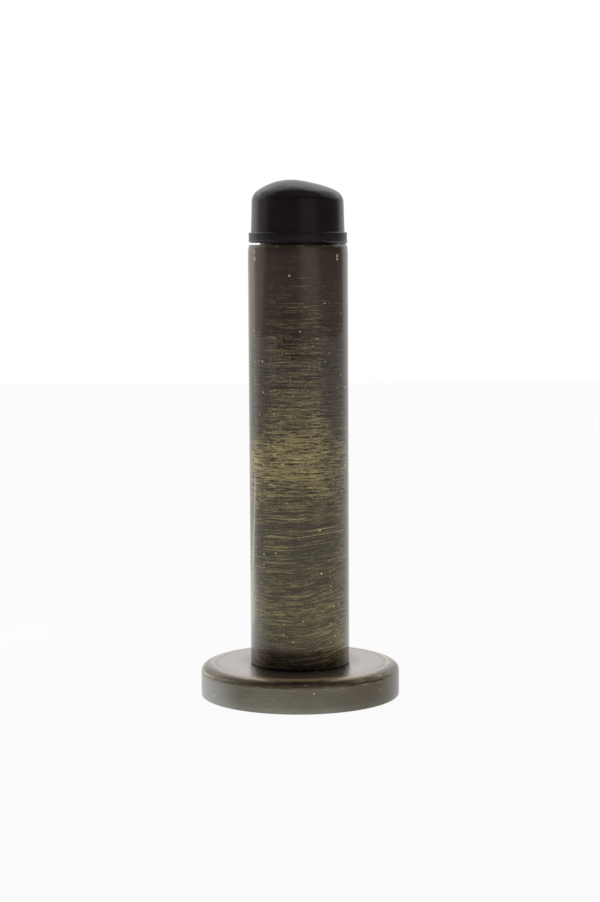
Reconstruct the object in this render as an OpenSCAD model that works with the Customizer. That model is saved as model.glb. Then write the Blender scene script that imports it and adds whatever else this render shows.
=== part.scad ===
// Cylinder door stop on a round rose, with a hidden screw fixing.
// Units are millimetres. +Z is the projection axis, and the origin is the centre of the wall face.

/* [Column] */
// Outside diameter of the column tube
column_d = 19.05; // [15.8:0.05:24]
// Wall thickness of the column tube
column_wall = 2; // [1.6:0.1:2.5]
// Length of the column tube
column_l = 80.5; // [60:0.1:110]
// Chamfer on the outer edges of the tube's ends
column_chamfer = 0.25; // [0.1:0.05:0.5]
// Chamfer on the bore's edges at the tube's ends
bore_chamfer = 0.4; // [0.2:0.1:0.8]

/* [Rose] */
// Outside diameter of the rose
rose_d = 38.3; // [32:0.1:48]
// Height of the rose above the wall
rose_h = 6.2; // [5.1:0.1:8]
// Thickness of the rose's side wall
rose_wall = 2.2; // [1.6:0.1:3]
// Thickness of the rose's top
rose_web = 1.5; // [1.2:0.1:2]
// Width of the rounding on the rose's upper edge
rose_edge_w = 2.4; // [1:0.1:3]
// Height of the rounding on the rose's upper edge
rose_edge_h = 1.5; // [0.8:0.1:2]
// Chamfer on the rose's lower edges
rose_foot_chamfer = 0.2; // [0.1:0.05:0.4]

/* [Fixing plate] */
// Thickness of the fixing plate
plate_t = 3; // [2.5:0.1:3.6]
// Radial clearance between the fixing plate and the rose
plate_clear = 0.25; // [0.15:0.05:0.5]
// Chamfer on the fixing plate's edges
plate_chamfer = 0.3; // [0.1:0.1:0.6]
// Number of wall screw holes
screw_count = 3; // [2:1:4]
// Diameter of each wall screw hole
screw_hole_d = 4; // [3.3:0.1:4.5]
// Diameter of each countersink at the plate's face
screw_head_d = 7.2; // [6:0.1:8]

/* [Stud, washer and nut] */
// Nominal thread diameter of the stud
thread_d = 6; // [5:0.1:7.2]
// Radial clearance of the stud in its nut and bush
thread_clear = 0.05; // [0.02:0.01:0.1]
// Radial clearance of the stud in the fixing plate
stud_hole_clear = 0.15; // [0.1:0.05:0.3]
// Diameter of the stud's countersunk head
stud_head_d = 10.4; // [9:0.1:11]
// Length of the stud beyond the bush
stud_tail = 1.7; // [1:0.1:4]
// Length of one arm pair of the driving cross
cross_l = 5.4; // [4:0.1:6]
// Width of the driving cross's arms
cross_w = 1.1; // [0.8:0.1:1.4]
// Depth of the driving cross
cross_depth = 1.9; // [1:0.1:2.2]
// Outside diameter of the spring washer
washer_d = 11.8; // [10:0.1:12.4]
// Thickness of the spring washer
washer_t = 1.5; // [1.2:0.1:1.8]
// Width of the spring washer's split
washer_gap = 1; // [0.6:0.1:1.6]
// Angle of the spring washer's split from upright
washer_lean = 25; // [0:1:35]
// Nut size across flats
nut_af = 10; // [9:0.1:11]
// Thickness of the nut
nut_t = 3.2; // [2.6:0.1:3.9]
// Angle of the nut's corner chamfer
nut_chamfer_a = 30; // [20:1:35]
// Radial room around the nut and washer in the rose's hole
nut_room = 0.6; // [0.3:0.1:1]

/* [Bush] */
// Length of the threaded bush
bush_l = 10; // [8:0.1:14]
// Gap between the nut and the bush
bush_room = 0.6; // [0.4:0.1:2]
// Chamfer on the bush's outer edges
bush_chamfer = 0.5; // [0.2:0.1:1]
// Chamfer at the mouths of the bush's threaded hole
bush_mouth = 0.5; // [0.2:0.1:1]

/* [Rubber buffer] */
// Height of the buffer's head above its flange
head_h = 10; // [8:0.1:14]
// Step from the flange in to the head
head_step = 0.46; // [0.2:0.01:1]
// Radial taper of the head from its foot to its shoulder
head_taper = 0.16; // [0:0.01:0.4]
// Radius of the head's shoulder
shoulder_r = 2.6; // [1.5:0.1:3.5]
// Radius of the domed top
dome_r = 14.5; // [13:0.5:24]
// Thickness of the flange
flange_t = 1.9; // [1.4:0.1:2.6]
// Inset of the flange's rim from the column's surface
flange_inset = 0.16; // [0:0.01:0.5]
// How far the lip stands out from the flange's rim
lip_out = 0.14; // [0.05:0.01:0.18]
// Height of the lip above the flange's underside
lip_h = 0.5; // [0.3:0.1:0.9]
// Bevel under the lip
lip_bevel = 0.4; // [0.2:0.1:0.8]
// Gap between the flange and the column's rim
seat_gap = 0.4; // [0.1:0.1:1]
// Length of the plug below the flange
plug_l = 11; // [8:0.1:14]
// Radial clearance of the plug's ribs in the column
rib_clear = 0.05; // [0.02:0.01:0.1]
// Depth of the ribs on the plug
rib_depth = 0.2; // [0.1:0.05:0.4]
// Number of ribs on the plug
rib_count = 4; // [2:1:5]
// Height of each rib
rib_h = 1; // [0.6:0.1:1.4]
// Diameter of the hollow in the plug
core_d = 8; // [6:0.1:9]
// Depth of the hollow in the plug
core_depth = 9; // [6:0.1:11]

/* [Hidden] */
$fn = 96;

overshoot = 1;       // how far a cut runs past the face it starts from
cone_overlap = 0.01; // how far a countersink's cone runs past its face
arc_steps = 12;      // segments in each rounded stretch of an outline
tip_chamfer = 0.8;   // chamfer at the stud's free end
rib_crest = 0.7;     // share of a rib's height at which it stands out furthest
edge_break = 0.1;    // chamfer on the spring washer's inner edges
washer_chamfer = 0.2; // chamfer on the spring washer's outer edges

// Radii and heights that follow from the driving dimensions
column_r = column_d / 2;
bore_r = column_r - column_wall;
rose_r = rose_d / 2;
cavity_r = rose_r - rose_wall;
cavity_h = rose_h - rose_web;
plate_r = cavity_r - plate_clear;
thread_r = thread_d / 2;
stud_r = thread_r - thread_clear;
nut_corner_r = nut_af / 2 / cos(30);
rose_hole_r = max(nut_corner_r, washer_d / 2) + nut_room;
washer_z = plate_t;
nut_z = washer_z + washer_t;
bush_z = max(nut_z + nut_t + bush_room, rose_h + bush_chamfer);
stud_l = bush_z + bush_l + stud_tail;
rim_z = rose_h + column_l;
flange_z = rim_z + seat_gap;
flange_top_z = flange_z + flange_t;
apex_z = flange_top_z + head_h;
flange_r = column_r - flange_inset;
head_r = flange_r - head_step;
neck_r = head_r - head_taper;
rib_r = bore_r - rib_clear;
plug_r = rib_r - rib_depth;
plug_z = flange_z - plug_l;
rib_pitch = plug_l / (rib_count + 0.5);
screw_circle_r = (plate_r + washer_d / 2) / 2;

// Colours
patina = [0.23, 0.2, 0.15];
raw_brass = [0.72, 0.58, 0.3];
zinc = [0.66, 0.68, 0.7];
black_rubber = [0.11, 0.09, 0.09];

// Points along a round stretch of an outline, with its reach outwards and upwards
function arc(centre, out, up, from, to) = [
    for (i = [0 : arc_steps])
        let (a = from + (to - from) * i / arc_steps)
        centre + [out * cos(a), up * sin(a)]
];

// Solid of revolution about Z from an outline of [radius, height] points
module turned(outline) {
    rotate_extrude() polygon(outline);
}

// Ring between two radii and two heights, with a chamfer on each edge
module ring(inner, outer, low, high, inner_chamfer, outer_chamfer) {
    turned([
        [inner + inner_chamfer, low],
        [outer - outer_chamfer, low],
        [outer, low + outer_chamfer],
        [outer, high - outer_chamfer],
        [outer - outer_chamfer, high],
        [inner + inner_chamfer, high],
        [inner, high - inner_chamfer],
        [inner, low + inner_chamfer],
    ]);
}

// Brass tube that holds the buffer off the wall
module column_tube() {
    color(patina)
        ring(bore_r, column_r, rose_h, rim_z, bore_chamfer, column_chamfer);
}

// Brass bush fixed in the tube's lower end, threaded for the stud
module threaded_bush() {
    color(raw_brass)
        ring(thread_r, bore_r, bush_z, bush_z + bush_l, bush_mouth, bush_chamfer);
}

// Hollow brass cover that hides the fixing plate and its screws
module rose() {
    edge_centre = [rose_r - rose_edge_w, rose_h - rose_edge_h];
    color(patina)
        turned(concat(
            [
                [cavity_r + rose_foot_chamfer, 0],
                [rose_r - rose_foot_chamfer, 0],
                [rose_r, rose_foot_chamfer],
            ],
            arc(edge_centre, rose_edge_w, rose_edge_h, 0, 90),
            [
                [rose_hole_r, rose_h],
                [rose_hole_r, cavity_h],
                [cavity_r, cavity_h],
                [cavity_r, rose_foot_chamfer],
            ]
        ));
}

// Countersink that opens upwards at z = 0, for a 90 degree head
module countersink(hole_r, head_r) {
    depth = head_r - hole_r;
    translate([0, 0, -depth])
        cylinder(h = depth + cone_overlap, r1 = hole_r, r2 = head_r + cone_overlap);
}

// Steel plate that the wall screws hold, under the rose
module fixing_plate() {
    hole_r = thread_r + stud_hole_clear;
    color(zinc)
        difference() {
            ring(hole_r, plate_r, 0, plate_t, plate_chamfer, plate_chamfer);
            mirror([0, 0, 1])
                countersink(hole_r, stud_head_d / 2);
            for (i = [0 : screw_count - 1])
                rotate([0, 0, 90 + i * 360 / screw_count])
                    translate([screw_circle_r, 0, 0]) {
                        translate([0, 0, -overshoot])
                            cylinder(h = plate_t + 2 * overshoot, d = screw_hole_d);
                        translate([0, 0, plate_t])
                            countersink(screw_hole_d / 2, screw_head_d / 2);
                    }
        }
}

// Countersunk machine screw, head to the wall, that the column screws onto
module centre_stud() {
    head_r = stud_head_d / 2;
    color(zinc)
        difference() {
            turned([
                [0, 0],
                [head_r, 0],
                [stud_r, head_r - stud_r],
                [stud_r, stud_l - tip_chamfer],
                [stud_r - tip_chamfer, stud_l],
                [0, stud_l],
            ]);
            for (turn = [0, 90])
                rotate([0, 0, turn])
                    translate([-cross_l / 2, -cross_w / 2, -overshoot])
                        cube([cross_l, cross_w, cross_depth + overshoot]);
        }
}

// Split spring washer between the plate and the nut
module spring_washer() {
    outer = washer_d / 2;
    color(zinc)
        difference() {
            ring(thread_r + stud_hole_clear, outer, washer_z, nut_z, edge_break, washer_chamfer);
            translate([outer / 2, 0, washer_z + washer_t / 2])
                rotate([washer_lean, 0, 0])
                    cube([outer + overshoot, washer_gap, 3 * washer_t], center = true);
        }
}

// Thin hexagon nut that locks the stud to the plate
module stud_nut() {
    drop = (nut_corner_r - nut_af / 2) * tan(nut_chamfer_a);
    color(zinc)
        difference() {
            intersection() {
                translate([0, 0, nut_z])
                    cylinder(h = nut_t, r = nut_corner_r, $fn = 6);
                turned([
                    [0, nut_z],
                    [nut_af / 2, nut_z],
                    [nut_corner_r + overshoot, nut_z + drop + overshoot * tan(nut_chamfer_a)],
                    [nut_corner_r + overshoot, nut_z + nut_t - drop - overshoot * tan(nut_chamfer_a)],
                    [nut_af / 2, nut_z + nut_t],
                    [0, nut_z + nut_t],
                ]);
            }
            translate([0, 0, nut_z - overshoot])
                cylinder(h = nut_t + 2 * overshoot, r = thread_r);
        }
}

// Saw-tooth ribs up the side of the plug, thin at the foot so that they slide in
function ribs() = [
    for (i = [0 : rib_count - 1])
        let (z = plug_z + rib_pitch * (i + 0.5))
        each [[plug_r, z], [rib_r, z + rib_crest * rib_h], [plug_r, z + rib_h]]
];

// Moulded rubber buffer: domed head, flange, and a ribbed plug in the tube
module rubber_buffer() {
    core_r = core_d / 2;
    dome_centre_z = apex_z - dome_r;
    reach = dome_r - shoulder_r;
    shoulder_out = neck_r - shoulder_r;
    shoulder_z = dome_centre_z + sqrt(pow(reach, 2) - pow(shoulder_out, 2));
    meet_a = acos(shoulder_out / reach);
    color(black_rubber)
        turned(concat(
            [
                [0, plug_z + core_depth],
                [core_r, plug_z + core_depth],
                [core_r, plug_z],
                [plug_r - rib_depth, plug_z],
                [plug_r, plug_z + rib_depth],
            ],
            ribs(),
            [
                [plug_r, flange_z],
                [flange_r + lip_out - lip_bevel, flange_z],
                [flange_r + lip_out, flange_z + lip_h - lip_out],
                [flange_r, flange_z + lip_h],
                [flange_r, flange_top_z],
                [head_r, flange_top_z],
            ],
            arc([shoulder_out, shoulder_z], shoulder_r, shoulder_r, 0, meet_a),
            [for (p = arc([0, dome_centre_z], dome_r, dome_r, meet_a, 90)) if (p[0] > 0.01) p],
            [[0, apex_z]]
        ));
}

fixing_plate();
centre_stud();
spring_washer();
stud_nut();
rose();
column_tube();
threaded_bush();
rubber_buffer();
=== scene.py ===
"""Looks of a cylinder door stop, built round its packed construction model.

The construction model gives every size and place. This script turns the visible pieces afresh
with bmesh, gives each finish its own procedural material, and sets up a plain white studio.
Lengths are in metres unless a name says otherwise.
"""

from __future__ import annotations

import logging
import math
from collections.abc import Iterable, Mapping, Sequence
from dataclasses import dataclass
from enum import Enum

import bmesh
import bpy
from mathutils import Matrix, Vector, noise

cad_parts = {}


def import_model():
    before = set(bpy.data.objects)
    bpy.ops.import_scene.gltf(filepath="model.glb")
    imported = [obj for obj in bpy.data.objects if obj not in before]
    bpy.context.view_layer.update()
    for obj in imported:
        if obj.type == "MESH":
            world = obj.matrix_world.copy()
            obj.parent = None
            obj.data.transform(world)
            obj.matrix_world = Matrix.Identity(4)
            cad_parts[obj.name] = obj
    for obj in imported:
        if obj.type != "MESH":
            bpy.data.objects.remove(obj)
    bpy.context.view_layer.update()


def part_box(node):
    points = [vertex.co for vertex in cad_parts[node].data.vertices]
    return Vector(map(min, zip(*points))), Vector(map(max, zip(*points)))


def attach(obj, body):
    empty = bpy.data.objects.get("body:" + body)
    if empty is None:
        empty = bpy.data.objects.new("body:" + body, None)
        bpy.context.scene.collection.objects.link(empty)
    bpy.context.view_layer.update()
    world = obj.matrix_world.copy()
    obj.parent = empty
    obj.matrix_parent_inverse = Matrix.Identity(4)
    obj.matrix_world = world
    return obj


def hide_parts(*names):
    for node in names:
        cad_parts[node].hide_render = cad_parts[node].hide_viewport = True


LOG = logging.getLogger("door_stop")

MM = 0.001
FULL_TURN = math.tau
SMOOTH_ANGLE = math.radians(32)
MERGE_DISTANCE = 1e-7
SAME_RADIUS = 1e-6

Colour = tuple[float, float, float]
Triple = tuple[float, float, float]
Stops = tuple[tuple[float, float], ...]
Socket = bpy.types.NodeSocket
Shade = Colour | Socket
BMesh = bmesh.types.BMesh


# ---- Shader graph ----


@dataclass(frozen=True)
class Value:
    """A number that varies over a surface, on which Python's operators add Math nodes."""

    graph: Graph
    socket: Socket

    def math(self, operation: str, *terms: Value | float, clamp: bool = False) -> Value:
        """Add one Math node.

        Args:
            operation: The Math node's operation.
            *terms: Its inputs, in order.
            clamp: Whether the result is held between 0 and 1.

        Returns:
            The node's result.
        """
        settings = {"operation": operation, "use_clamp": clamp}
        node = self.graph.node("ShaderNodeMath", settings, dict(enumerate(terms)))
        return Value(self.graph, node.outputs[0])

    def __add__(self, other: Value | float) -> Value:
        """Sum."""
        return self.math("ADD", self, other)

    __radd__ = __add__

    def __sub__(self, other: Value | float) -> Value:
        """Difference."""
        return self.math("SUBTRACT", self, other)

    def __rsub__(self, other: float) -> Value:
        """Difference, from a plain number."""
        return self.math("SUBTRACT", other, self)

    def __mul__(self, other: Value | float) -> Value:
        """Product."""
        return self.math("MULTIPLY", self, other)

    __rmul__ = __mul__

    def __truediv__(self, other: Value | float) -> Value:
        """Quotient."""
        return self.math("DIVIDE", self, other)

    def __pow__(self, other: Value | float) -> Value:
        """Power."""
        return self.math("POWER", self, other)

    def __abs__(self) -> Value:
        """Size without sign."""
        return self.math("ABSOLUTE", self)

    def over(self, other: Value | float) -> Value:
        """The larger of two numbers."""
        return self.math("MAXIMUM", self, other)

    def clamped(self) -> Value:
        """Held between 0 and 1."""
        return self.math("ADD", self, 0.0, clamp=True)

    def step(self, low: float, high: float) -> Value:
        """A smooth step.

        Args:
            low: Where the result is 0.
            high: Where the result is 1. It may be below low, for a step that falls.

        Returns:
            A number from 0 to 1.
        """
        swapped = low > high
        node = self.graph.node(
            "ShaderNodeMapRange",
            {"interpolation_type": "SMOOTHSTEP"},
            {"Value": self, "From Min": min(low, high), "From Max": max(low, high)},
        )
        rise = Value(self.graph, node.outputs[0])
        return 1.0 - rise if swapped else rise

    def curve(self, stops: Stops) -> Value:
        """A number looked up along a run of stops.

        Args:
            stops: Pairs of place, from 0 to 1, and the number there.

        Returns:
            The number at this place.
        """
        shades = [(place, (level, level, level)) for place, level in stops]
        node = self.graph.node("ShaderNodeValToRGB", {"stops": shades}, {"Fac": self})
        return Value(self.graph, node.outputs[0])


class Graph:
    """The nodes of one material or of the world."""

    def __init__(self, tree: bpy.types.NodeTree) -> None:
        """Start from an empty tree."""
        self.tree = tree
        tree.nodes.clear()

    def node(
        self,
        kind: str,
        settings: Mapping[str, object] | None = None,
        inputs: Mapping[str | int, object] | None = None,
    ) -> bpy.types.Node:
        """Add a node.

        Args:
            kind: The node's type.
            settings: Its own properties, set first. "stops" are a ramp's places and colours.
            inputs: Numbers, colours, Values or sockets for its inputs, by name or index.

        Returns:
            The node.
        """
        made = self.tree.nodes.new(kind)
        for name, setting in (settings or {}).items():
            if name == "stops":
                self._set_stops(made.color_ramp, setting)
            else:
                setattr(made, name, setting)
        for name, given in (inputs or {}).items():
            source = given.socket if isinstance(given, Value) else given
            if isinstance(source, Socket):
                self.tree.links.new(source, made.inputs[name])
            else:
                made.inputs[name].default_value = source
        return made

    @staticmethod
    def _set_stops(ramp: bpy.types.ColorRamp, stops: Iterable[tuple[float, Colour]]) -> None:
        """Give a ramp its stops."""
        for index, (place, colour) in enumerate(stops):
            stop = ramp.elements[index] if index < 2 else ramp.elements.new(place)
            stop.position = place
            stop.color = (*colour, 1.0)

    def place(self) -> Socket:
        """The point on the piece, in millimetres."""
        coordinates = self.node("ShaderNodeTexCoord")
        scaled = self.node(
            "ShaderNodeVectorMath",
            {"operation": "SCALE"},
            {"Vector": coordinates.outputs["Object"], "Scale": 1.0 / MM},
        )
        return scaled.outputs[0]

    def split(self, vector: Socket) -> tuple[Value, Value, Value]:
        """The three parts of a vector."""
        node = self.node("ShaderNodeSeparateXYZ", None, {0: vector})
        x, y, z = (Value(self, socket) for socket in node.outputs)
        return x, y, z

    def join(self, x: Value | float, y: Value | float, z: Value | float) -> Socket:
        """A vector made of three numbers."""
        return self.node("ShaderNodeCombineXYZ", None, {0: x, 1: y, 2: z}).outputs[0]

    def noise(self, at: Socket, detail: float = 3.0, rough: float = 0.5) -> Value:
        """Fractal noise between 0 and 1, with features about one unit across.

        Args:
            at: The vector to read it at.
            detail: Octaves.
            rough: How strong the finer octaves are.

        Returns:
            The noise.
        """
        inputs = {"Vector": at, "Scale": 1.0, "Detail": detail, "Roughness": rough}
        return Value(self, self.node("ShaderNodeTexNoise", None, inputs).outputs["Fac"])

    def stretched(self, at: Socket, per_mm: Triple, shift: float = 0.0) -> Socket:
        """A place scaled along each axis, so that a pattern is finer or longer there.

        Args:
            at: The place in millimetres.
            per_mm: Units of the pattern to a millimetre, along each axis.
            shift: Moves the pattern, so that two of them differ.

        Returns:
            The vector to read a pattern at.
        """
        node = self.node(
            "ShaderNodeVectorMath",
            {"operation": "MULTIPLY_ADD"},
            {0: at, 1: per_mm, 2: (shift, shift, shift)},
        )
        return node.outputs[0]

    def dots(self, at: Socket, share: float, reach: float) -> Value:
        """Scattered round specks of mixed sizes.

        Args:
            at: The vector to read the pattern at, one unit to a cell.
            share: The share of cells that hold a speck.
            reach: The largest speck's radius, in units.

        Returns:
            1 in a speck and 0 outside.
        """
        cells = self.node("ShaderNodeTexVoronoi", None, {"Vector": at, "Scale": 1.0})
        chance, size, _ = self.split(cells.outputs["Color"])
        distance = Value(self, cells.outputs["Distance"])
        held = chance.step(1.0 - share, 1.0 - share + 0.02)
        return (distance / (size * reach + 0.3 * reach)).step(1.0, 0.55) * held

    def near(self, at: Socket, point_mm: Triple, reach: float) -> Value:
        """How near a place is to a point: 1 at the point, and 0 from reach away, in millimetres."""
        node = self.node("ShaderNodeVectorMath", {"operation": "DISTANCE"}, {0: at, 1: point_mm})
        return Value(self, node.outputs["Value"]).step(reach, 0.0)

    def mix(self, share: Value | float, first: Shade, second: Shade) -> Socket:
        """Blend two colours.

        Args:
            share: 0 for the first colour and 1 for the second.
            first: A colour or a socket.
            second: A colour or a socket.

        Returns:
            The blended colour.
        """
        first, second = ((*c, 1.0) if isinstance(c, tuple) else c for c in (first, second))
        inputs = {0: share, 6: first, 7: second}
        return self.node("ShaderNodeMix", {"data_type": "RGBA"}, inputs).outputs[2]

    def layered(self, base: Shade, *layers: tuple[Value | float, Shade]) -> Shade:
        """Lay colours over a base in turn, each by its own share."""
        for share, colour in layers:
            base = self.mix(share, base, colour)
        return base

    def bump(self, height: Value, depth: float) -> Socket:
        """Relief.

        Args:
            height: From 0 to 1.
            depth: How deep that is, in metres.

        Returns:
            The normal.
        """
        inputs = {"Height": height, "Distance": depth, "Strength": 1.0}
        return self.node("ShaderNodeBump", None, inputs).outputs[0]

    def surface(self, **sockets: object) -> None:
        """End the material in one Principled shader, given its sockets by name."""
        inputs = {name.replace("_", " "): given for name, given in sockets.items()}
        shader = self.node("ShaderNodeBsdfPrincipled", None, inputs)
        self.output(shader.outputs[0])

    def output(self, shader: Socket, kind: str = "Material") -> None:
        """Link a shader to the output."""
        self.node(f"ShaderNodeOutput{kind}", None, {"Surface": shader})


def new_material(name: str) -> tuple[bpy.types.Material, Graph]:
    """An empty node material and its graph."""
    material = bpy.data.materials.new(name)
    material.use_nodes = True
    return material, Graph(material.node_tree)


# ---- Finishes ----


class Slot(Enum):
    """Names for the finishes' material slots. No piece here uses them."""

    ANTIQUE_BRASS = "antique_brass"
    PLAIN_BRASS = "plain_brass"
    ZINC_STEEL = "zinc_steel"
    SPRING_STEEL = "spring_steel"
    RUBBER = "rubber"


@dataclass(frozen=True)
class Chip:
    """One place where the patina has gone through to bright brass.

    Its bearing is in degrees, its height and reach are in millimetres, and its depth is a share.
    """

    bearing: float
    height: float
    reach: float
    depth: float = 1.0

    def point(self, radius_mm: float) -> Triple:
        """Its place in millimetres on a column of the radius, with bearing 0 at the front."""
        turn = math.radians(self.bearing)
        return (radius_mm * math.sin(turn), -radius_mm * math.cos(turn), self.height)


@dataclass(frozen=True)
class Brushwork:
    """The marks of brushing round a column, from broad streaks down to grain."""

    coarse: Value
    long: Value
    fine: Value
    hair: Value
    grain: Value

    @classmethod
    def on(cls, g: Graph, at: Socket, up: Value, radius_mm: float) -> Brushwork:
        """Brush a column.

        Args:
            g: The material's graph.
            at: The place, in millimetres.
            up: The share of the column's height.
            radius_mm: The column's radius, in millimetres.

        Returns:
            The marks, which sway a little, and climb to the right on the lower half.
        """
        x, y, z = g.split(at)
        sway = g.noise(g.stretched(at, (0.06, 0.06, 0.04)), 1.0) * 1.3
        climb = x.step(-2.0, radius_mm) * up.step(0.5, 0.25) * 1.5
        run = z + sway - climb
        return cls(
            coarse=g.noise(g.join(x * 0.07, y * 0.07, run * 0.9), 2.0, 0.6),
            long=g.noise(g.join(x * 0.05, y * 0.05 + 5.0, run * 2.6), 2.0, 0.6),
            fine=g.noise(g.join(x * 0.16 + 7.0, y * 0.16, run * 3.6), 2.0, 0.7),
            hair=g.noise(g.join(x * 0.45, y * 0.45 + 3.0, run * 6.0), 2.0, 0.7),
            grain=g.noise(g.stretched(at, (2.2, 2.2, 3.4)), 2.0, 0.7),
        )

    def relief(self) -> Value:
        """How high the surface stands, about 0.5 on average."""
        return self.fine * 0.52 + self.hair * 0.40 + (self.grain - 0.5) * 0.34 + 0.04

    def scratches(self, amount: Value) -> Value:
        """Long broken scratches, more of them where more is worn."""
        return (self.long + amount * 0.06).step(0.66, 0.72) * self.fine.step(0.35, 0.5)


@dataclass(frozen=True)
class AntiqueBrass:
    """Dark bronze patina over brass, brushed round and worn to gold at its edges.

    From the column's foot to its rim, wear says how worn it is, and ageing how far from brown
    to olive it has turned.
    """

    soot_and_shade: Colour = (0.018, 0.015, 0.011)
    brown: Colour = (0.088, 0.064, 0.051)
    olive: Colour = (0.058, 0.050, 0.033)
    drab: Colour = (0.17, 0.135, 0.065)
    grey: Colour = (0.160, 0.149, 0.113)
    umber_and_shade: Colour = (0.058, 0.038, 0.023)
    rust: Colour = (0.27, 0.195, 0.168)
    brass: Colour = (0.27, 0.218, 0.098)
    bright: Colour = (0.56, 0.48, 0.19)
    gold: Colour = (0.74, 0.66, 0.24)
    tan: Colour = (0.50, 0.37, 0.19)
    painted_highlight_grey: Colour = (0.19, 0.19, 0.165)
    pale_and_highlight: Colour = (0.36, 0.36, 0.345)
    wear: Stops = (
        (0.0, 0.40), (0.06, 0.48), (0.15, 0.54), (0.25, 0.36), (0.345, 0.42), (0.44, 0.70),
        (0.505, 1.0), (0.58, 0.68), (0.68, 0.50), (0.77, 0.52), (0.88, 0.42), (1.0, 0.08),
    )
    ageing: Stops = (
        (0.0, 0.4), (0.06, 0.8), (0.15, 1.0), (0.4, 0.9), (0.6, 0.5), (0.8, 0.2), (0.97, 0.0),
    )

    def wear_amount(self, x: Value, up: Value, patches: Value, marks: Brushwork) -> Value:
        """How far the column's patina is worn, lowered on its upper left and upper right as painted
        shade.

        Args:
            x: The distance to the right of its middle, in millimetres.
            up: The share of its height.
            patches: A slow noise.
            marks: Its brushing.

        Returns:
            A number from 0 to 1.
        """
        # Painted shade: the patina is kept darker on the upper right and upper left sides.
        painted_shade_right = x.step(3.0, 6.5) * up.step(0.40, 0.56) * 0.38
        painted_shade_left = x.step(-5.0, -6.5) * up.step(0.44, 0.58) * 0.36
        lower_right = x.step(2.0, 6.5) * up.step(0.16, 0.07) * 0.25
        uneven = (patches - 0.5) * 0.7 + (marks.coarse - 0.5) * 0.6
        return (up.curve(self.wear) + uneven - painted_shade_right - painted_shade_left + lower_right).clamped()

    def bare_spots(
        self, g: Graph, at: Socket, up: Value, radius_mm: float, chips: Sequence[Chip]
    ) -> Value:
        """Where the column is down to bright brass.

        Args:
            g: The material's graph.
            at: The place, in millimetres.
            up: The share of the column's height.
            radius_mm: The column's radius, in millimetres.
            chips: Single places that are worn through.

        Returns:
            1 in a speck or a chip, and 0 outside.
        """
        crowd = g.noise(g.stretched(at, (0.16, 0.16, 0.12), 9.0), 1.0).step(0.42, 0.54)
        bare = g.dots(g.stretched(at, (1.35, 1.35, 1.45)), 0.3, 0.24) * crowd
        bare = bare * up.step(0.95, 0.75)
        ragged = (g.noise(g.stretched(at, (2.6, 2.6, 2.6)), 2.0) - 0.5) * 0.8
        for chip in chips:
            spot = g.near(at, chip.point(radius_mm), chip.reach) + ragged
            bare = bare.over(spot.step(0.35, 0.6) * chip.depth)
        return bare

    def column(
        self, radius: float, low: float, high: float, chips: Sequence[Chip]
    ) -> bpy.types.Material:
        """The column's finish.

        Args:
            radius: The column's outside radius.
            low: The height of its foot.
            high: The height of its rim.
            chips: Places that are worn through.

        Returns:
            The material.
        """
        material, g = new_material("antique_brass_column")
        at = g.place()
        x, _, z = g.split(at)
        foot_mm, rim_mm = low / MM, high / MM
        up = (z - foot_mm) / (rim_mm - foot_mm)
        marks = Brushwork.on(g, at, up, radius / MM)
        patches = g.noise(g.stretched(at, (0.10, 0.10, 0.08), 4.0), 3.0)
        amount = self.wear_amount(x, up, patches, marks)
        relief = marks.relief()
        scratches = marks.scratches(amount)
        worn = ((relief + amount * 0.15 - 0.58) * 9.0).clamped()
        worn = worn.over(scratches * up.step(0.7, 0.4) * 0.8)
        bare = self.bare_spots(g, at, up, radius / MM, chips)
        ends = abs(z - rim_mm).step(0.5, 0.1).over(abs(z - foot_mm).step(0.45, 0.1))
        ends = ends * g.noise(g.stretched(at, (0.9, 0.9, 0.6), 2.0), 4.0, 0.7).step(0.5, 0.68)
        lower = up.step(0.44, 0.33)
        gaps = relief.step(0.52, 0.40) * up.step(0.95, 0.7) * (0.85 - lower * 0.3)
        streaks = g.mix(marks.hair.step(0.48, 0.66) * amount, self.brass, self.bright)
        clear = 1.0 - up.step(0.50, 0.66) * 0.25 - lower * 0.18
        # Painted highlight: a pale grey patch low on the left of the column.
        bloom = x.step(-5.2, -9.5) * up.step(0.32, 0.05) * up.step(0.02, 0.05)
        # The patina, thin where it is worn and dark between the streaks. Then the streaks, painted
        # shade at the foot, a painted highlight low on the left, the worn ends, and bare brass.
        colour = g.layered(
            g.mix(up.curve(self.ageing), self.brown, self.olive),
            (amount * amount * up.step(0.75, 0.5) * 0.7, self.drab),
            (gaps, self.soot_and_shade),
            (worn * (amount * 0.55 + 0.4) * clear, streaks),
            (scratches * up.step(0.6, 0.4) * 0.4, self.bright),
            # Painted shade at the column's foot.
            (up.step(0.05, 0.0) * 0.3, self.soot_and_shade),
            (bloom * 0.6, self.painted_highlight_grey),
            (ends * 0.5, self.tan),
            (bare, self.gold),
        )
        g.surface(
            Base_Color=colour,
            Metallic=(1.0 - worn * 0.3 - bare * 0.6).clamped(),
            Roughness=(relief * 0.16 + patches * 0.08 + worn * 0.1 + 0.20).clamped(),
            Coat_Weight=(0.4 - bare * 0.3).clamped(),
            Coat_Roughness=0.04,
            Normal=g.bump(relief - bare * 0.4, 0.008 * MM),
        )
        return material

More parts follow.
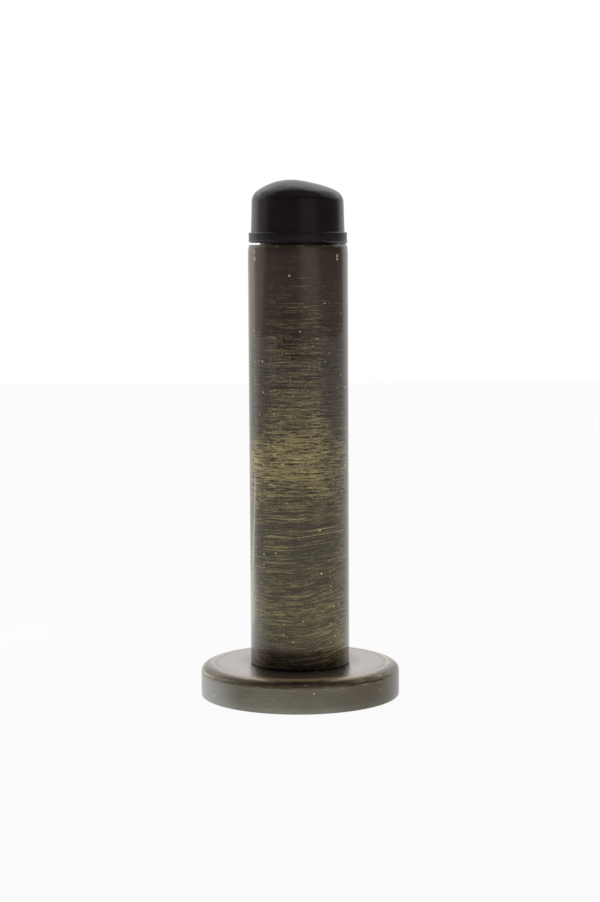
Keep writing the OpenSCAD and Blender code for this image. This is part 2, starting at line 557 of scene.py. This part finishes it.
    def rose(self, radius: float, top: float, edge: float) -> bpy.types.Material:
        """The rose's finish.

        Args:
            radius: The rose's outside radius.
            top: The height of its upper face.
            edge: The width of the rounding round it.

        Returns:
            The material.
        """
        material, g = new_material("antique_brass_rose")
        at = g.place()
        x, y, z = g.split(at)
        out = (x * x + y * y) ** 0.5
        inward = radius / MM - out
        drop = top / MM - z
        width = edge / MM
        brush = g.noise(g.join(out * 5.0, z * 5.0, (x + y) * 0.05), 1.0)
        rubbed = g.noise(g.join(x * 0.45, y * 0.45, z * 7.0), 3.0, 0.75)
        cloud = g.noise(g.stretched(at, (0.12, 0.12, 0.3)), 2.0)
        scuff = g.noise(g.stretched(at, (0.7, 0.7, 4.5), 5.0), 3.0, 0.65)
        flat = drop.step(0.5, 0.0)
        right = x.step(2.0, 18.0)
        rounding = inward.step(width * 1.6, width * 1.05) * drop.step(1.2, 0.7)
        spread = y.step(-5.0, -16.0) * 0.95 + 0.4
        line = (abs(inward + (scuff - 0.5) * 1.4 - width * 0.9) / spread).step(1.0, 0.3)
        line = line * (rubbed + scuff * 0.4).step(0.36, 0.6)
        gold = drop.step(0.25, 0.8) * drop.step(2.0, 1.2)
        gold = gold * (rubbed + right * 0.03 + (scuff - 0.5) * 0.4).step(0.58, 0.70)
        crest = drop.step(0.7, 1.1) * drop.step(2.3, 1.4)
        crest = crest * (rubbed + scuff * 0.5).step(0.62, 0.9)
        nicks = drop.step(1.0, 1.6) * drop.step(3.0, 2.2) * (rubbed + scuff * 0.5).step(0.92, 1.0)
        specks = g.dots(g.stretched(at, (0.8, 0.8, 1.0)), 0.07, 0.22) * drop.step(1.5, 2.5)
        # Grey and olive on the side, rusty on the top face and a painted shadow round the column.
        # Then the rounding's darker band and worn marks, a painted highlight on the left of the
        # side, a paler band at its foot, and painted shade on its right.
        colour = g.layered(
            g.mix(cloud.step(0.3, 0.75) * 0.4, self.grey, self.olive),
            (flat, self.rust),
            (scuff.step(0.42, 0.7) * 0.25, self.umber_and_shade),
            # Painted shadow round the column's foot.
            (out.step(13.0, 9.6) * flat * 0.8, self.soot_and_shade),
            (rounding * 0.9, self.umber_and_shade),
            (line * 0.85, self.tan),
            (crest * 0.6, self.brass),
            # Painted highlight on the left of the side.
            (drop.step(1.0, 2.0) * x.step(-10.0, -18.0) * 0.7, self.pale_and_highlight),
            (drop.step(4.4, 6.2) * 0.25, self.pale_and_highlight),
            # Painted shade on the right of the rounding and the side.
            (drop.step(0.6, 1.4) * x.step(3.0, 13.0) * 0.5, self.umber_and_shade),
            (gold * 0.85, g.mix(right * scuff, self.tan, self.gold)),
            (specks.over(nicks * 0.5), self.gold),
        )
        g.surface(
            Base_Color=colour,
            Metallic=(1.0 - gold * 0.5 - specks * 0.5 - line * 0.7 - crest * 0.5).clamped(),
            Roughness=(brush * 0.08 + cloud * 0.06 + 0.26).clamped(),
            Coat_Weight=(flat * 0.7 - gold * 0.2 + 0.3).clamped(),
            Coat_Roughness=0.3,
            Normal=g.bump(brush * (flat * 2.0 + 1.0), 0.003 * MM),
        )
        return material


@dataclass(frozen=True)
class Rubber:
    """Black moulded rubber with a satin skin."""

    black: Colour = (0.0105, 0.0032, 0.0056)
    bloom: Colour = (0.016, 0.008, 0.011)
    dust: Colour = (0.14, 0.13, 0.13)

    def material(self, flange: float) -> bpy.types.Material:
        """The material.

        Args:
            flange: The height of the flange, whose moulding lip is rougher.

        Returns:
            The material.
        """
        material, g = new_material("moulded_rubber")
        at = g.place()
        grain = g.noise(g.stretched(at, (3.2, 3.2, 3.2)), 4.0, 0.6)
        cloud = g.noise(g.stretched(at, (0.18, 0.18, 0.3)), 3.0)
        _, _, z = g.split(at)
        lip = abs(z - flange / MM).step(1.3, 0.6)
        dust = g.dots(g.stretched(at, (1.6, 1.6, 1.6)), 0.05, 0.14)
        dust = dust.over(g.dots(g.stretched(at, (2.6, 2.6, 3.2), 4.0), 0.16, 0.3) * lip * 0.6)
        colour = g.mix(cloud.step(0.35, 0.8), self.black, self.bloom)
        colour = g.mix(dust * 0.3, colour, self.dust)
        g.surface(
            Base_Color=colour,
            Roughness=(cloud * 0.08 + grain * 0.08 + lip * 0.12 + 0.17).clamped(),
            Specular_IOR_Level=0.28,
            Sheen_Weight=0.12,
            Sheen_Roughness=0.35,
            Normal=g.bump(grain * (lip * 2.0 + 1.0), 0.006 * MM),
        )
        return material


@dataclass(frozen=True)
class PlainMetal:
    """A machined or plated metal with its tool marks."""

    name: str
    colour: Colour
    stain: Colour
    roughness: float

    def material(self) -> bpy.types.Material:
        """The material."""
        material, g = new_material(self.name)
        at = g.place()
        x, y, z = g.split(at)
        out = (x * x + y * y) ** 0.5
        marks = g.noise(g.join(out * 7.0, z * 7.0, 0.0), 3.0, 0.6)
        cloud = g.noise(g.stretched(at, (0.35, 0.35, 0.35)), 4.0, 0.6)
        g.surface(
            Base_Color=g.mix(cloud.step(0.45, 0.8), self.colour, self.stain),
            Metallic=1.0,
            Roughness=(marks * 0.15 + cloud * 0.15 + self.roughness - 0.12).clamped(),
            Normal=g.bump(marks, 0.006 * MM),
        )
        return material


TURNED_BRASS = PlainMetal("turned_brass", (0.72, 0.55, 0.25), (0.52, 0.36, 0.16), 0.28)
ZINC_PLATE = PlainMetal("zinc_plate", (0.58, 0.59, 0.60), (0.44, 0.46, 0.45), 0.32)
SPRING_STEEL = PlainMetal("spring_steel", (0.20, 0.20, 0.21), (0.10, 0.09, 0.09), 0.36)


# ---- Turned meshes ----


@dataclass(frozen=True)
class Corner:
    """A point on a turned outline, with the radius that rounds it off."""

    out: float
    up: float
    rounding: float = 0.0


@dataclass(frozen=True)
class Span:
    """The reach of a construction node from the axis, and its heights."""

    radius: float
    low: float
    high: float

    @classmethod
    def of(cls, node: str) -> Span:
        """The span of a node at rest."""
        lowest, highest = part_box(node)
        return cls(highest.x, lowest.z, highest.z)


def arc(
    centre: Corner, out: float, up: float, start: float, end: float, steps: int
) -> list[Corner]:
    """Points along an elliptical arc.

    Args:
        centre: Its centre.
        out: Its reach outwards.
        up: Its reach upwards.
        start: The angle it starts at, in degrees from level.
        end: The angle it ends at.
        steps: How many lengths it is drawn in.

    Returns:
        The points, from start to end.
    """
    angles = (math.radians(start + (end - start) * i / steps) for i in range(steps + 1))
    return [Corner(centre.out + out * math.cos(a), centre.up + up * math.sin(a)) for a in angles]


def spun(outline: Sequence[Corner], steps: int, rounding_steps: int = 3) -> BMesh:
    """Turn an outline about the axis.

    Args:
        outline: Its corners, in order. It may touch the axis.
        steps: Faces round the axis.
        rounding_steps: Lengths in each rounded corner.

    Returns:
        A closed mesh.
    """
    mesh = bmesh.new()
    points = [mesh.verts.new((corner.out, 0.0, corner.up)) for corner in outline]
    mesh.faces.new(points)
    for rounding in sorted({corner.rounding for corner in outline if corner.rounding}):
        picked = [p for p, corner in zip(points, outline) if corner.rounding == rounding]
        bmesh.ops.bevel(
            mesh, geom=picked, offset=rounding, affect="VERTICES",
            segments=rounding_steps, profile=0.5, material=-1,
        )
    bmesh.ops.delete(mesh, geom=mesh.faces[:], context="FACES_ONLY")
    axial = [e for e in mesh.edges if all(abs(v.co.x) < MERGE_DISTANCE for v in e.verts)]
    bmesh.ops.delete(mesh, geom=axial, context="EDGES")
    bmesh.ops.spin(
        mesh, geom=mesh.verts[:] + mesh.edges[:], cent=(0, 0, 0), axis=(0, 0, 1),
        dvec=(0, 0, 0), angle=FULL_TURN, steps=steps, use_merge=True, use_duplicate=False,
    )
    bmesh.ops.remove_doubles(mesh, verts=mesh.verts, dist=MERGE_DISTANCE)
    bmesh.ops.recalc_face_normals(mesh, faces=mesh.faces)
    return mesh


def finished(name: str, mesh: BMesh, material: bpy.types.Material) -> bpy.types.Object:
    """Make a mesh into a smooth piece.

    Args:
        name: The piece's name.
        mesh: Its shape, which is freed.
        material: Its finish.

    Returns:
        The piece, at the origin.
    """
    data = bpy.data.meshes.new(name)
    mesh.to_mesh(data)
    mesh.free()
    data.materials.append(material)
    smooth(data)
    piece = bpy.data.objects.new(name, data)
    bpy.context.scene.collection.objects.link(piece)
    return piece


def smooth(data: bpy.types.Mesh) -> None:
    """Shade a mesh smooth, but for its sharp edges."""
    data.shade_smooth()
    data.set_sharp_from_angle(angle=SMOOTH_ANGLE)


def combine(piece: bpy.types.Object, tool: BMesh, operation: str) -> None:
    """Cut a piece with a tool, or keep what they share.

    Args:
        piece: The piece, whose mesh is remade.
        tool: A closed shape, which is freed.
        operation: The Boolean modifier's operation.
    """
    data = bpy.data.meshes.new("tool")
    tool.to_mesh(data)
    tool.free()
    cutter = bpy.data.objects.new("tool", data)
    bpy.context.scene.collection.objects.link(cutter)
    modifier = piece.modifiers.new("combine", "BOOLEAN")
    modifier.operation, modifier.solver, modifier.object = operation, "EXACT", cutter
    scene_now = bpy.context.evaluated_depsgraph_get()
    piece.data = bpy.data.meshes.new_from_object(piece.evaluated_get(scene_now))
    piece.modifiers.clear()
    smooth(piece.data)
    bpy.data.objects.remove(cutter)
    bpy.data.meshes.remove(data)


def block(size: tuple[float, float, float], turn: Matrix, centre: Vector) -> BMesh:
    """A box, turned and then moved."""
    mesh = bmesh.new()
    bmesh.ops.create_cube(mesh, size=1.0)
    bmesh.ops.scale(mesh, vec=size, verts=mesh.verts)
    bmesh.ops.rotate(mesh, matrix=turn, verts=mesh.verts)
    bmesh.ops.translate(mesh, vec=centre, verts=mesh.verts)
    return mesh


@dataclass(frozen=True)
class Thread:
    """A right-hand metric thread, on or in a turned mesh."""

    radius: float
    depth: float
    low: float
    high: float
    pitch: float = 1.0 * MM
    rows: int = 10
    flank: float = 1.25
    flat: float = 0.12

    def outline(self) -> list[Corner]:
        """Corners close enough along the axis to carry the thread, from low to high."""
        count = round((self.high - self.low) / self.pitch * self.rows)
        reach = self.high - self.low
        return [Corner(self.radius, self.low + reach * i / count) for i in range(count + 1)]

    def cut(self, mesh: BMesh) -> None:
        """Move the mesh's rings to the thread's shape. A depth below 0 cuts outwards."""
        for point in mesh.verts:
            place = point.co
            out = place.xy.length
            if abs(out - self.radius) > SAME_RADIUS or not self.low < place.z < self.high:
                continue
            phase = (place.z / self.pitch - math.atan2(place.y, place.x) / FULL_TURN) % 1.0
            shape = min(1.0, max(0.0, self.flank * abs(2.0 * phase - 1.0) - self.flat))
            fade = min(1.0, (place.z - self.low) / self.pitch, (self.high - place.z) / self.pitch)
            place.xy *= 1.0 - self.depth * shape * fade / out


def fit(piece: bpy.types.Object, body: str, node: str) -> bpy.types.Object:
    """Let a piece ride on its body in place of its construction node, and log it."""
    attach(piece, body)
    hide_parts(node)
    LOG.info("%s on %s: %d faces", piece.name, body, len(piece.data.polygons))
    return piece


# ---- Sub-assemblies ----


@dataclass
class Buffer:
    """The rubber buffer: a domed head on a flange, and a ribbed plug in the column."""

    head_step: float = 0.46 * MM
    head_taper: float = 0.16 * MM
    shoulder: float = 2.6 * MM
    dome: float = 14.5 * MM
    head_height: float = 10.0 * MM
    flange: float = 1.9 * MM
    lip: float = 0.14 * MM
    lip_height: float = 0.5 * MM
    lip_bevel: float = 0.4 * MM
    lip_crease: float = 0.05 * MM
    lip_round: float = 0.1 * MM
    flange_round: float = 0.15 * MM
    head_crease: float = 0.12 * MM
    plug_radius: float = 7.275 * MM
    plug_round: float = 0.3 * MM
    rib: float = 0.2 * MM
    rib_height: float = 1.0 * MM
    rib_crest: float = 0.7 * MM
    rib_round: float = 0.06 * MM
    rib_count: int = 4
    core_radius: float = 4.0 * MM
    core_depth: float = 9.0 * MM
    core_round: float = 0.8 * MM
    core_mouth: float = 0.2 * MM
    shoulder_steps: int = 8
    crown_steps: int = 14
    crown_share: float = 0.45
    crown_shift: float = -1.0 * MM
    sag: float = 0.2 * MM
    sag_side: float = 4.0 * MM
    sag_width: float = 2.6 * MM
    lip_drop: float = 0.35 * MM
    fray_out: float = 0.07 * MM
    fray_in: float = 0.03 * MM
    fray_up: float = 0.05 * MM
    fray_coarse: float = 900.0
    fray_fine: float = 2600.0
    fray_wave: float = 1500.0
    steps: int = 168

    def outline(self, span: Span) -> list[Corner]:
        """The buffer's outline, from the hollow in its plug round to its crown."""
        apex, foot = span.high, span.low
        flange_top = apex - self.head_height
        flange_foot = flange_top - self.flange
        rim = span.radius - self.lip
        head = rim - self.head_step
        neck = head - self.head_taper
        reach = self.dome - self.shoulder
        inset = neck - self.shoulder
        centre = apex - self.dome
        shoulder = Corner(inset, centre + math.sqrt(reach**2 - inset**2))
        meet = math.degrees(math.acos(inset / reach))
        pitch = (flange_foot - foot) / (self.rib_count + 0.5)
        ribs = []
        for index in range(self.rib_count):
            low = foot + pitch * (index + 0.5)
            ribs += [
                Corner(self.plug_radius, low),
                Corner(self.plug_radius + self.rib, low + self.rib_crest, self.rib_round),
                Corner(self.plug_radius, low + self.rib_height),
            ]
        crown = arc(Corner(0.0, centre), self.dome, self.dome, meet, 90.0, self.crown_steps)
        return [
            Corner(0.0, foot + self.core_depth),
            Corner(self.core_radius, foot + self.core_depth, self.core_round),
            Corner(self.core_radius, foot, self.core_mouth),
            Corner(self.plug_radius, foot, self.plug_round),
            *ribs,
            Corner(self.plug_radius, flange_foot),
            Corner(span.radius - self.lip_bevel, flange_foot, self.lip_round),
            Corner(span.radius, flange_foot + self.lip_height - self.lip, self.lip_crease),
            Corner(rim, flange_foot + self.lip_height),
            Corner(rim, flange_top, self.flange_round),
            Corner(head, flange_top, self.head_crease),
            *arc(shoulder, self.shoulder, self.shoulder, 0.0, meet, self.shoulder_steps),
            *crown[1:-1],
            Corner(0.0, apex),
        ]

    def build(self) -> None:
        """Make the buffer in place of its construction node."""
        span = Span.of("rubber_buffer")
        mesh = spun(self.outline(span), self.steps)
        self.settle(mesh, span)
        material = Rubber().material(span.high - self.head_height - self.flange / 2)
        fit(finished("buffer", mesh, material), "buffer", "rubber_buffer")

    def settle(self, mesh: BMesh, span: Span) -> None:
        """Set the crown a little to one side, and fray the moulding lip under the flange.

        Args:
            mesh: The turned buffer.
            span: Its construction node's span.
        """
        neck = span.high - self.head_height * self.crown_share
        lip_low = span.high - self.head_height - self.flange - self.lip_round
        lip_high = lip_low + self.lip_round + self.lip_height * 1.2
        lip_inside = span.radius - self.lip_bevel * 1.5
        for point in mesh.verts:
            place = point.co
            if place.z > neck:
                self.set_crown(place, span, neck)
            elif lip_low < place.z < lip_high and place.xy.length > lip_inside:
                self.fray_lip(place, span)

    def set_crown(self, place: Vector, span: Span, neck: float) -> None:
        """Move a point of the crown to its side, and let it sag.

        Args:
            place: The point, which is moved.
            span: The construction node's span.
            neck: The height from which the crown is moved.
        """
        middle = 1.0 - (place.xy.length / span.radius) ** 2
        rise = (place.z - neck) / (span.high - neck)
        beside = (place.x - self.sag_side) / self.sag_width
        place.z -= self.sag * rise * math.exp(-(beside**2))
        place.x += self.crown_shift * middle * rise

    def fray_lip(self, place: Vector, span: Span) -> None:
        """Roughen a point of the moulding lip, and drop it on the right.

        Args:
            place: The point, which is moved.
            span: The construction node's span.
        """
        out = place.xy.length
        fray = noise.noise(place * self.fray_coarse) + 0.5 * noise.noise(place * self.fray_fine)
        droop = min(1.0, max(0.0, place.x / span.radius * 3.0 - 1.2))
        wave = self.fray_up * noise.noise(place * self.fray_wave)
        place.z += wave - self.lip_drop * droop
        place.xy *= 1.0 + (self.fray_out * fray - self.fray_in) / out


@dataclass
class Column:
    """The column: a brass tube and the threaded bush in its foot."""

    rim_round: float = 0.22 * MM
    rim_draw: float = 0.24 * MM
    rim_ease: Stops = ((7.0, 0.0), (2.5, 0.3))
    bore_round: float = 0.35 * MM
    wall: float = 2.0 * MM
    thread: float = 3.0 * MM
    thread_depth: float = 0.4 * MM
    mouth: float = 0.5 * MM
    bush_steps: int = 96
    steps: int = 192
    chips: tuple[Chip, ...] = (
        Chip(50.5, 84.6, 0.55),
        Chip(50.5, 84.0, 0.5),
        Chip(-10.0, 81.0, 0.4),
        Chip(-59.0, 84.1, 0.9, 0.25),
        Chip(-60.0, 85.4, 0.8, 0.2),
        Chip(31.5, 75.8, 0.28),
        Chip(2.0, 70.6, 0.28),
        Chip(7.0, 44.2, 0.3),
        Chip(24.0, 33.0, 0.32),
        Chip(25.6, 24.8, 0.4),
        Chip(-7.7, 11.8, 0.32),
    )

    def build(self) -> None:
        """Make the tube in place of its construction node, and dress the bush."""
        span = Span.of("column_tube")
        bore = span.radius - self.wall
        outline = [
            Corner(bore, span.low, self.bore_round),
            Corner(span.radius, span.low, self.rim_round),
            *(
                Corner(span.radius - share * self.rim_draw, span.high - below * self.rim_draw)
                for below, share in self.rim_ease
            ),
            Corner(span.radius - self.rim_draw, span.high, self.rim_round / 2),
            Corner(bore, span.high, self.bore_round),
        ]
        mesh = spun(outline, self.steps)
        material = AntiqueBrass().column(span.radius, span.low, span.high, self.chips)
        fit(finished("column", mesh, material), "column", "column_tube")
        self.add_bush()

    def add_bush(self) -> None:
        """Make the bush with its thread."""
        span = Span.of("threaded_bush")
        low, high = span.low + self.mouth, span.high - self.mouth
        thread = Thread(self.thread, -self.thread_depth, low, high)
        outline = [
            Corner(self.thread + self.mouth, span.low),
            Corner(span.radius - self.mouth, span.low),
            Corner(span.radius, low),
            Corner(span.radius, high),
            Corner(span.radius - self.mouth, span.high),
            Corner(self.thread + self.mouth, span.high),
            *reversed(thread.outline()),
        ]
        mesh = spun(outline, self.bush_steps)
        thread.cut(mesh)
        piece = finished("bush", mesh, TURNED_BRASS.material())
        fit(piece, "column", "threaded_bush")


@dataclass
class Rose:
    """The rose: a hollow turned cover with a rounded upper edge."""

    wall: float = 2.2 * MM
    web: float = 1.5 * MM
    hole: float = 6.5 * MM
    edge_width: float = 2.4 * MM
    edge_height: float = 1.5 * MM
    edge_steps: int = 14
    foot_inside: float = 0.15 * MM
    foot_outside: float = 0.18 * MM
    hole_top: float = 0.15 * MM
    hole_foot: float = 0.1 * MM
    hollow_round: float = 0.5 * MM
    steps: int = 256

    def build(self) -> None:
        """Make the rose in place of its construction node."""
        span = Span.of("rose")
        cavity = span.radius - self.wall
        edge = Corner(span.radius - self.edge_width, span.high - self.edge_height)
        outline = [
            Corner(cavity, span.low, self.foot_inside),
            Corner(span.radius, span.low, self.foot_outside),
            *arc(edge, self.edge_width, self.edge_height, 0.0, 90.0, self.edge_steps),
            Corner(self.hole, span.high, self.hole_top),
            Corner(self.hole, span.high - self.web, self.hole_foot),
            Corner(cavity, span.high - self.web, self.hollow_round),
        ]
        mesh = spun(outline, self.steps)
        material = AntiqueBrass().rose(span.radius, span.high, self.edge_width)
        fit(finished("rose_cover", mesh, material), "rose", "rose")


@dataclass
class Fixing:
    """What the rose hides: the wall plate, with its stud, spring washer and nut."""

    hole: float = 3.15 * MM
    edge: float = 0.3 * MM
    screw_count: int = 3
    screw_hole: float = 2.0 * MM
    screw_head: float = 3.6 * MM
    screw_circle: float = 11.3 * MM
    stud_thread: float = 2.95 * MM
    thread_depth: float = 0.45 * MM
    head_round: float = 0.08 * MM
    tip: float = 0.6 * MM
    tip_round: float = 0.1 * MM
    cross_length: float = 5.4 * MM
    cross_width: float = 1.1 * MM
    cross_depth: float = 1.9 * MM
    washer_gap: float = 1.0 * MM
    washer_lean: float = 25.0
    washer_inside: float = 0.1 * MM
    washer_outside: float = 0.2 * MM
    nut_hole: float = 3.0 * MM
    nut_flat: float = 5.0 * MM
    nut_drop: float = 0.55 * MM
    nut_spare: float = 0.2 * MM
    stud_steps: int = 64
    plate_steps: int = 128
    drill_steps: int = 40
    ring_steps: int = 96

    def build(self) -> None:
        """Make each piece in place of its construction node."""
        zinc = ZINC_PLATE.material()
        spring = SPRING_STEEL.material()
        stud, head = self.stud(zinc)
        fit(self.plate(zinc, head), "mounting", "fixing_plate")
        fit(stud, "mounting", "centre_stud")
        fit(self.washer(spring), "mounting", "spring_washer")
        fit(self.nut(zinc), "mounting", "stud_nut")

    def stud(self, material: bpy.types.Material) -> tuple[bpy.types.Object, float]:
        """The machine screw, head to the wall, and the radius of its head."""
        span = Span.of("centre_stud")
        head = span.radius
        neck = head - self.stud_thread
        thread = Thread(self.stud_thread, self.thread_depth, neck + self.edge, span.high - self.tip)
        outline = [
            Corner(0.0, span.low),
            Corner(head, span.low, self.head_round),
            Corner(self.stud_thread, neck),
            *thread.outline(),
            Corner(self.stud_thread - self.tip, span.high, self.tip_round),
            Corner(0.0, span.high),
        ]
        mesh = spun(outline, self.stud_steps)
        thread.cut(mesh)
        piece = finished("stud", mesh, material)
        size = (self.cross_length, self.cross_width, 2 * self.cross_depth)
        for degrees in (0.0, 90.0):
            slot = block(size, Matrix.Rotation(math.radians(degrees), 3, "Z"), Vector())
            combine(piece, slot, "DIFFERENCE")
        return piece, head

    def plate(self, material: bpy.types.Material, head: float) -> bpy.types.Object:
        """The wall plate, countersunk for the stud and for the wall screws."""
        span = Span.of("fixing_plate")
        outline = [
            Corner(head, span.low),
            Corner(span.radius, span.low, self.edge),
            Corner(span.radius, span.high, self.edge),
            Corner(self.hole, span.high),
            Corner(self.hole, head - self.hole),
        ]
        piece = finished("plate", spun(outline, self.plate_steps), material)
        bit = [
            Corner(0.0, span.low - self.edge),
            Corner(self.screw_hole, span.low - self.edge),
            Corner(self.screw_hole, span.high - self.screw_head + self.screw_hole),
            Corner(self.screw_head + self.edge, span.high + self.edge),
            Corner(0.0, span.high + self.edge),
        ]
        for index in range(self.screw_count):
            angle = math.radians(90.0) + FULL_TURN * index / self.screw_count
            drill = spun(bit, self.drill_steps)
            centre = Vector((math.cos(angle), math.sin(angle), 0.0)) * self.screw_circle
            bmesh.ops.translate(drill, vec=centre, verts=drill.verts)
            combine(piece, drill, "DIFFERENCE")
        return piece

    def washer(self, material: bpy.types.Material) -> bpy.types.Object:
        """The split spring washer."""
        span = Span.of("spring_washer")
        outline = [
            Corner(self.hole, span.low, self.washer_inside),
            Corner(span.radius, span.low, self.washer_outside),
            Corner(span.radius, span.high, self.washer_outside),
            Corner(self.hole, span.high, self.washer_inside),
        ]
        piece = finished("washer", spun(outline, self.ring_steps), material)
        lean = Matrix.Rotation(math.radians(self.washer_lean), 3, "X")
        centre = Vector((span.radius / 2 + 0.5 * MM, 0.0, (span.low + span.high) / 2))
        combine(piece, block((span.radius, self.washer_gap, 5.0 * MM), lean, centre), "DIFFERENCE")
        return piece

    def nut(self, material: bpy.types.Material) -> bpy.types.Object:
        """The thin hexagon nut, chamfered on both faces."""
        span = Span.of("stud_nut")
        beyond = span.radius + self.nut_spare
        outline = [
            Corner(self.nut_hole, span.low + self.edge),
            Corner(self.nut_hole + self.edge, span.low),
            Corner(self.nut_flat, span.low),
            Corner(beyond, span.low + self.nut_drop),
            Corner(beyond, span.high - self.nut_drop),
            Corner(self.nut_flat, span.high),
            Corner(self.nut_hole + self.edge, span.high),
            Corner(self.nut_hole, span.high - self.edge),
        ]
        piece = finished("nut", spun(outline, self.ring_steps), material)
        prism = bmesh.new()
        bmesh.ops.create_cone(
            prism, cap_ends=True, segments=6, radius1=span.radius, radius2=span.radius,
            depth=2 * span.high,
        )
        turn = Matrix.Rotation(math.radians(30.0), 3, "Z")
        bmesh.ops.rotate(prism, matrix=turn, verts=prism.verts)
        bmesh.ops.translate(prism, vec=(0.0, 0.0, span.low), verts=prism.verts)
        combine(piece, prism, "INTERSECT")
        return piece


# ---- Studio ----


@dataclass(frozen=True)
class Lamp:
    """A soft rectangular lamp that faces the object. Its bearing and roll are in degrees."""

    name: str
    bearing: float
    height: float
    distance: float
    width: float
    tall: float
    brightness: float
    roll: float = 0.0

    def build(self, target: Vector) -> None:
        """Hang the lamp at its bearing, clockwise from the camera's side as seen from above."""
        data = bpy.data.lights.new(self.name, "AREA")
        data.shape = "RECTANGLE"
        data.size, data.size_y = self.width, self.tall
        data.energy = self.brightness * math.pi * self.width * self.tall
        lamp = bpy.data.objects.new(self.name, data)
        turn = math.radians(self.bearing)
        lamp.location = Vector((math.sin(turn), -math.cos(turn), 0.0)) * self.distance
        lamp.location.z = self.height
        facing = (target - lamp.location).to_track_quat("-Z", "Y").to_matrix()
        lamp.rotation_euler = (facing @ Matrix.Rotation(math.radians(self.roll), 3, "Z")).to_euler()
        lamp.visible_camera = False
        bpy.context.scene.collection.objects.link(lamp)


@dataclass
class Studio:
    """A white table and backdrop, soft lamps, and the camera."""

    width: float = 2.8
    table_front: float = 0.8
    backdrop_distance: float = 0.85
    backdrop_height: float = 0.8
    backdrop_shift: float = -0.15
    table_white: float = 0.95
    table_held: float = 0.94
    backdrop_white: float = 0.9
    backdrop_held: float = 1.0
    aim: float = 50.0 * MM
    camera_distance: float = 404.2 * MM
    camera_height: float = 89.0 * MM
    camera_side: float = 0.19 * MM
    camera_pitch: float = 5.90
    camera_roll: float = -0.32
    lens: float = 84.4
    room: float = 0.19
    # Each lamp's name, bearing, height, distance, width, tall side, brightness and roll.
    lamps: tuple[Lamp, ...] = (
        Lamp("high_left", -138.0, 0.70, 0.75, 1.3, 0.75, 0.85),
        Lamp("high_right", 138.0, 0.70, 0.75, 1.3, 0.75, 0.85),
        Lamp("left_card", -108.0, 0.112, 0.252, 0.235, 0.16, 0.5, 26.0),
        Lamp("left_edge", -128.0, 0.015, 0.1, 0.006, 0.04, 3.0, -55.0),
        Lamp("left_low", -132.0, 0.0085, 0.05, 0.03, 0.013, 0.5),
        Lamp("front_fill", 27.0, 0.3, 1.1, 0.9, 0.7, 0.25),
        Lamp("front_glow", 27.0, 0.3, 1.0, 0.55, 0.6, 0.1),
        Lamp("front_top", 20.0, 1.2, 0.5, 1.3, 0.9, 0.15),
    )

    def build(self) -> None:
        """Make the studio."""
        self.set_world()
        self.set_stage()
        for lamp in self.lamps:
            lamp.build(Vector((0.0, 0.0, self.aim)))
        self.set_camera()
        bpy.context.scene.view_settings.view_transform = "Standard"

    def set_world(self) -> None:
        """A grey room that the camera sees as white."""
        world = bpy.data.worlds.new("room")
        world.use_nodes = True
        bpy.context.scene.world = world
        g = Graph(world.node_tree)
        rays = g.node("ShaderNodeLightPath")
        colour = g.mix(Value(g, rays.outputs["Is Camera Ray"]), (self.room,) * 3, (1.0, 1.0, 1.0))
        g.output(g.node("ShaderNodeBackground", None, {"Color": colour}).outputs[0], "World")

    def stage_material(self, name: str, white: float, held: float) -> bpy.types.Material:
        """White card.

        Args:
            name: The material's name.
            white: Its colour under the lamps.
            held: How far the camera and polished metal see it as pure white.

        Returns:
            The material.
        """
        material, g = new_material(name)
        rays = g.node("ShaderNodeLightPath")
        seen = Value(g, rays.outputs["Is Camera Ray"]).over(Value(g, rays.outputs["Is Glossy Ray"]))
        card = g.node("ShaderNodeBsdfDiffuse", None, {"Color": (white, white, white, 1.0)})
        glow = g.node("ShaderNodeEmission", None, {"Color": (1.0, 1.0, 1.0, 1.0)})
        inputs = {0: seen * held, 1: card.outputs[0], 2: glow.outputs[0]}
        g.output(g.node("ShaderNodeMixShader", None, inputs).outputs[0])
        return material

    def set_stage(self) -> None:
        """Lay the table, and stand the backdrop behind."""
        far = self.backdrop_distance
        depth = self.table_front + far
        lying = Matrix.Translation((0.0, far - depth / 2, 0.0))
        middle = Matrix.Translation((self.backdrop_shift, far, self.backdrop_height / 2))
        standing = middle @ Matrix.Rotation(math.pi / 2, 4, "X")
        table_card = self.stage_material("table_card", self.table_white, self.table_held)
        wall_card = self.stage_material("backdrop_card", self.backdrop_white, self.backdrop_held)
        table = finished("table", self.sheet(depth, lying), table_card)
        backdrop = finished("backdrop", self.sheet(self.backdrop_height, standing), wall_card)

    def sheet(self, depth: float, stand: Matrix) -> BMesh:
        """A flat sheet of the studio's width, laid or stood in its place."""
        mesh = bmesh.new()
        bmesh.ops.create_grid(mesh, x_segments=1, y_segments=1, size=0.5)
        bmesh.ops.scale(mesh, vec=(self.width, depth, 1.0), verts=mesh.verts)
        bmesh.ops.transform(mesh, matrix=stand, verts=mesh.verts)
        return mesh

    def set_camera(self) -> None:
        """Stand the camera in front, a little above the object's middle."""
        data = bpy.data.cameras.new("camera")
        data.lens = self.lens
        camera = bpy.data.objects.new("camera", data)
        stand = Matrix.Translation((self.camera_side, -self.camera_distance, self.camera_height))
        pitch = Matrix.Rotation(math.radians(90.0 - self.camera_pitch), 4, "X")
        roll = Matrix.Rotation(math.radians(self.camera_roll), 4, "Z")
        camera.matrix_world = stand @ pitch @ roll
        bpy.context.scene.collection.objects.link(camera)
        bpy.context.scene.camera = camera


def main() -> None:
    """Build the studio and each sub-assembly, and log each piece's faces."""
    logging.basicConfig(level=logging.INFO, format="%(name)s: %(message)s")
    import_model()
    Studio().build()
    Buffer().build()
    Column().build()
    Rose().build()
    Fixing().build()


if __name__ == "__main__":
    main()
